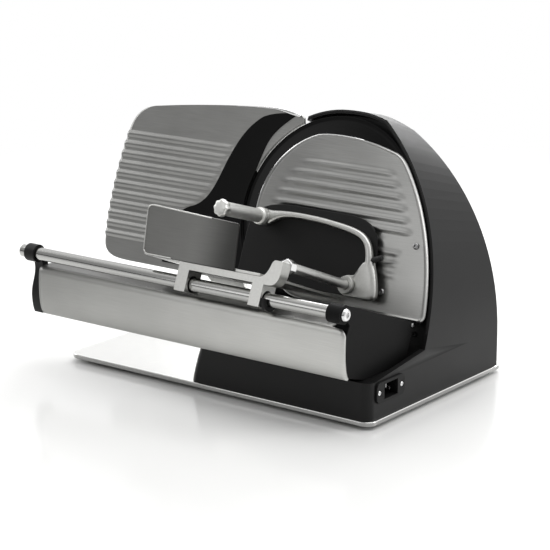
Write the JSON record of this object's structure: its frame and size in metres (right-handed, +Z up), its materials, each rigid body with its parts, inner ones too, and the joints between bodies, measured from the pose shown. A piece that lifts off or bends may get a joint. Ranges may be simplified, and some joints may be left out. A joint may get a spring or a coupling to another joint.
{
  "type": "electric food slicer",
  "caption": "Gravity-feed food slicer: leaning round blade in a domed housing, ribbed gauge plate set by a knob, and a carriage with a swing-up pusher on one rail.",
  "frame": {"origin": "middle of the bounding box on the plane that the feet stand on", "axes": "+X to the right along the rail, -Y towards the operator, +Z up"},
  "size_m": [0.4614, 0.2942, 0.2812],
  "materials": {
    "aluminium": "cast and buffed",
    "brushed": "brushed",
    "chrome": "polished",
    "blade_steel": "dark polish",
    "steel": "turned",
    "black_paint": "satin",
    "black_plastic": "matt",
    "black_gloss": "gloss",
    "rubber": "matt",
    "bronze": "machined",
    "motor_grey": "satin",
    "stop_red": "satin"
  },
  "bodies": {
    "base": {"base_plate": "aluminium", "foot_front_left": "rubber", "foot_front_right": "rubber", "foot_rear_left": "rubber", "foot_rear_right": "rubber", "housing": "black_paint", "bearing_case": "aluminium", "bearing_front": "steel", "bearing_rear": "steel", "motor": "motor_grey", "motor_bracket": "steel", "gauge_guide": "aluminium", "blade_cover": "brushed", "cover_post_upper": "steel", "cover_post_lower": "steel", "cover_screw_upper": "steel", "cover_screw_lower": "steel", "rail": "chrome", "rail_bracket": "black_paint", "rail_screw": "chrome", "bracket_screw": "steel", "recess_screw": "black_paint", "rail_cap": "black_plastic", "apron": "brushed", "inlet": "black_plastic", "inlet_pin_front": "steel", "inlet_pin_middle": "steel", "inlet_pin_rear": "steel", "inlet_screw_front": "steel", "inlet_screw_rear": "steel", "button_bezel": "black_plastic", "switch": "black_plastic"},
    "blade_group": {"blade": "blade_steel", "blade_shaft": "steel", "worm_wheel": "bronze"},
    "motor_rotor": {"motor_shaft": "steel"},
    "gauge": {"gauge_plate": "brushed", "gauge_panel": "black_gloss", "gauge_arm": "aluminium"},
    "knob": {"thickness_knob": "black_plastic", "thickness_cam": "steel"},
    "carriage_group": {"carriage": "aluminium", "carriage_bush_left": "black_plastic", "carriage_bush_right": "black_plastic", "carriage_keeper": "black_plastic", "food_tray": "brushed", "hand_guard": "brushed", "pusher_rod": "chrome", "pusher_rod_nut": "chrome"},
    "pusher_slider": {"pusher_sleeve": "aluminium"},
    "pusher": {"pusher_arm": "aluminium", "pusher_plate": "black_plastic", "pusher_handle": "brushed", "pusher_handle_cap": "aluminium", "pusher_stop_pin": "rubber"},
    "start": {"start_button": "black_plastic"},
    "stop": {"stop_button": "stop_red"}
  },
  "joints": [
    {"name": "blade_spin", "type": "hinge", "parent": "base", "child": "blade_group", "pos_m": [0.071, 0.0374, 0.1725], "axis": [0, 0.9272, -0.3746], "continuous": true},
    {"name": "motor_spin", "type": "hinge", "parent": "base", "child": "motor_rotor", "pos_m": [0.071, 0.07278, 0.12046], "axis": [1, 0, 0], "continuous": true},
    {"name": "knob_turn", "type": "hinge", "parent": "base", "child": "knob", "pos_m": [-0.019, 0.06386, 0.03778], "axis": [-1, 0, 0], "range_deg": [0, 300]},
    {"name": "gauge_slide", "type": "slide", "parent": "base", "child": "gauge", "axis": [0, 0.9272, -0.3746], "range_m": [0, 0.015]},
    {"name": "carriage_slide", "type": "slide", "parent": "base", "child": "carriage_group", "axis": [1, 0, 0], "range_m": [-0.18, 0.035]},
    {"name": "pusher_slide", "type": "slide", "parent": "carriage_group", "child": "pusher_slider", "axis": [0, 0.9272, -0.3746], "range_m": [-0.1, 0]},
    {"name": "pusher_swing", "type": "hinge", "parent": "pusher_slider", "child": "pusher", "pos_m": [0.131, -0.00793, 0.1137], "axis": [0, 0.9272, -0.3746], "range_deg": [0, 70]},
    {"name": "start_press", "type": "slide", "parent": "base", "child": "start", "axis": [1, 0, 0], "range_m": [0, 0.003], "stiffness_N_per_m": 400},
    {"name": "stop_press", "type": "slide", "parent": "base", "child": "stop", "axis": [1, 0, 0], "range_m": [0, 0.003], "stiffness_N_per_m": 400}
  ],
  "couplings": [
    {"joint": "motor_spin", "follows": "blade_spin", "ratio": -36},
    {"joint": "gauge_slide", "follows": "knob_turn", "m_per_rad": 0.0028648}
  ]
}
